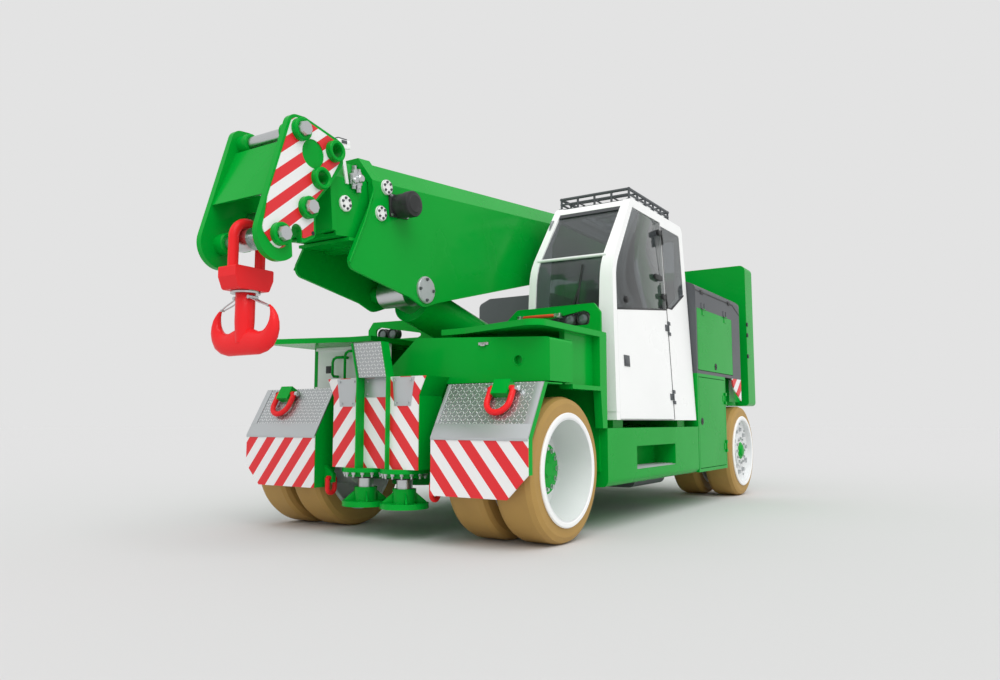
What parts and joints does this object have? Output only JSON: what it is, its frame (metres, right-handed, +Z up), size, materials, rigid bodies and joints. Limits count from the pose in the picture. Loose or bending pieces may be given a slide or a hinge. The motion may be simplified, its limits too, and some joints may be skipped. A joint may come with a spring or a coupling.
{
  "type": "pick and carry crane",
  "caption": "Wheeled pick and carry crane: telescopic boom over a low chassis, side cab, lift cylinder, twin solid tyres, rear steering, front jacks and a double hook.",
  "frame": {"origin": "on the ground under the middle of the bounding box", "axes": "+X forward along the boom, +Y to the machine's left, where the cab is, +Z up"},
  "size_m": [6.3916, 2.5, 2.9374],
  "materials": {
    "green_paint": "gloss",
    "white_paint": "gloss",
    "bare_steel": "satin",
    "black_plastic": "matte",
    "grey_paint": "satin",
    "red_paint": "gloss",
    "solid_tyre": "matte",
    "tinted_glass": "tinted"
  },
  "bodies": {
    "chassis": {"chassis_frame": "green_paint", "boom_tower": "green_paint", "front_axle": "green_paint", "rear_axle": "green_paint", "nose_box": "green_paint", "tread_plates": "bare_steel", "warning_panels": "white_paint", "fender_left": "green_paint", "fender_right": "green_paint", "front_locker": "green_paint", "deck_left": "green_paint", "deck_right": "green_paint", "cab_sides": "white_paint", "cab_ends": "white_paint", "cab_floor_roof": "white_paint", "cab_glass": "tinted_glass", "operator_seat": "black_plastic", "steering_console": "black_plastic", "roof_guard": "grey_paint", "sill_left": "green_paint", "sill_right": "green_paint", "belly_tank": "grey_paint", "engine_bay": "green_paint", "engine_block": "grey_paint", "hood_left": "grey_paint", "hood_right": "grey_paint", "tank_right": "green_paint", "counterweight": "green_paint", "tow_shackles": "red_paint", "lamps": "black_plastic"},
    "boom": {"boom_base": "green_paint", "boom_pads": "bare_steel", "boom_drum": "black_plastic"},
    "boom_middle": {"boom_mid": "green_paint"},
    "boom_inner": {"boom_fly": "green_paint", "head_panels": "white_paint", "head_pins": "bare_steel"},
    "hook_hanger": {"hook_bow": "red_paint"},
    "hook": {"hook_horns": "red_paint"},
    "lift_cylinder": {"lift_barrel": "green_paint"},
    "lift_piston": {"lift_rod": "bare_steel"},
    "cab_door": {"door_panel": "white_paint", "door_glass": "tinted_glass"},
    "lower_engine_door": {"engine_door_lower": "green_paint"},
    "upper_engine_door": {"engine_door_upper": "green_paint"},
    "left_jack": {"jack_left": "green_paint", "jack_rod_left": "bare_steel"},
    "right_jack": {"jack_right": "green_paint", "jack_rod_right": "bare_steel"},
    "front_wheel_left": {"tyres_front_left": "solid_tyre", "rims_front_left": "white_paint"},
    "front_wheel_right": {"tyres_front_right": "solid_tyre", "rims_front_right": "white_paint"},
    "steer_left": {"knuckle_left": "green_paint"},
    "steer_right": {"knuckle_right": "green_paint"},
    "rear_wheel_left": {"tyres_rear_left": "solid_tyre", "rims_rear_left": "white_paint"},
    "rear_wheel_right": {"tyres_rear_right": "solid_tyre", "rims_rear_right": "white_paint"}
  },
  "joints": [
    {"name": "boom_luff", "type": "hinge", "parent": "chassis", "child": "boom", "pos_m": [-2.0219, 0, 2.6], "axis": [0, -1, 0], "range_deg": [0, 60]},
    {"name": "boom_extend_middle", "type": "slide", "parent": "boom", "child": "boom_middle", "axis": [0.9954, 0, -0.0958], "range_m": [0, 2.6]},
    {"name": "boom_extend_inner", "type": "slide", "parent": "boom_middle", "child": "boom_inner", "axis": [0.9954, 0, -0.0958], "range_m": [0, 2.6]},
    {"name": "hook_swing", "type": "hinge", "parent": "boom_inner", "child": "hook_hanger", "pos_m": [3.0459, 0, 1.83274], "axis": [0, 1, 0], "range_deg": [-30, 62]},
    {"name": "hook_swivel", "type": "hinge", "parent": "hook_hanger", "child": "hook", "pos_m": [3.0459, 0, 1.53274], "axis": [0, 0, 1], "continuous": true},
    {"name": "lift_pivot", "type": "hinge", "parent": "chassis", "child": "lift_cylinder", "pos_m": [-0.6319, 0, 1.13], "axis": [0, -1, 0], "range_deg": [0, 60]},
    {"name": "lift_stroke", "type": "slide", "parent": "lift_cylinder", "child": "lift_piston", "axis": [0.9704, 0, 0.2416], "range_m": [0, 2.05]},
    {"name": "cab_door_hinge", "type": "hinge", "parent": "chassis", "child": "cab_door", "pos_m": [-0.5599, 1.22999, 0.80043], "axis": [0, -0.0543, 0.9985], "range_deg": [0, 100]},
    {"name": "lower_engine_door_hinge", "type": "hinge", "parent": "chassis", "child": "lower_engine_door", "pos_m": [-1.9889, 1.243, 0.78], "axis": [0, 0, 1], "range_deg": [0, 100]},
    {"name": "upper_engine_door_hinge", "type": "hinge", "parent": "chassis", "child": "upper_engine_door", "pos_m": [-1.7319, 1.243, 1.868], "axis": [1, 0, 0], "range_deg": [0, 85]},
    {"name": "left_jack_slide", "type": "slide", "parent": "chassis", "child": "left_jack", "axis": [0, 0, -1], "range_m": [0, 0.2]},
    {"name": "right_jack_slide", "type": "slide", "parent": "chassis", "child": "right_jack", "axis": [0, 0, -1], "range_m": [0, 0.2]},
    {"name": "front_left_spin", "type": "hinge", "parent": "chassis", "child": "front_wheel_left", "pos_m": [1.4281, 0.897, 0.475], "axis": [0, 1, 0], "continuous": true},
    {"name": "front_right_spin", "type": "hinge", "parent": "chassis", "child": "front_wheel_right", "pos_m": [1.4281, -0.897, 0.475], "axis": [0, 1, 0], "continuous": true},
    {"name": "left_steer", "type": "hinge", "parent": "chassis", "child": "steer_left", "pos_m": [-2.6119, 0.897, 0.971], "axis": [0, 0, 1], "range_deg": [-80, 80]},
    {"name": "right_steer", "type": "hinge", "parent": "chassis", "child": "steer_right", "pos_m": [-2.6119, -0.897, 0.971], "axis": [0, 0, 1], "range_deg": [-80, 80]},
    {"name": "rear_left_spin", "type": "hinge", "parent": "steer_left", "child": "rear_wheel_left", "pos_m": [-2.6119, 0.897, 0.475], "axis": [0, 1, 0], "continuous": true},
    {"name": "rear_right_spin", "type": "hinge", "parent": "steer_right", "child": "rear_wheel_right", "pos_m": [-2.6119, -0.897, 0.475], "axis": [0, 1, 0], "continuous": true}
  ],
  "couplings": [
    {"joint": "boom_extend_inner", "follows": "boom_extend_middle", "ratio": 1},
    {"joint": "lift_pivot", "follows": "boom_luff", "ratio": 0.995},
    {"joint": "lift_stroke", "follows": "boom_luff", "m_per_rad": 1.931},
    {"joint": "right_steer", "follows": "left_steer", "ratio": 1}
  ]
}
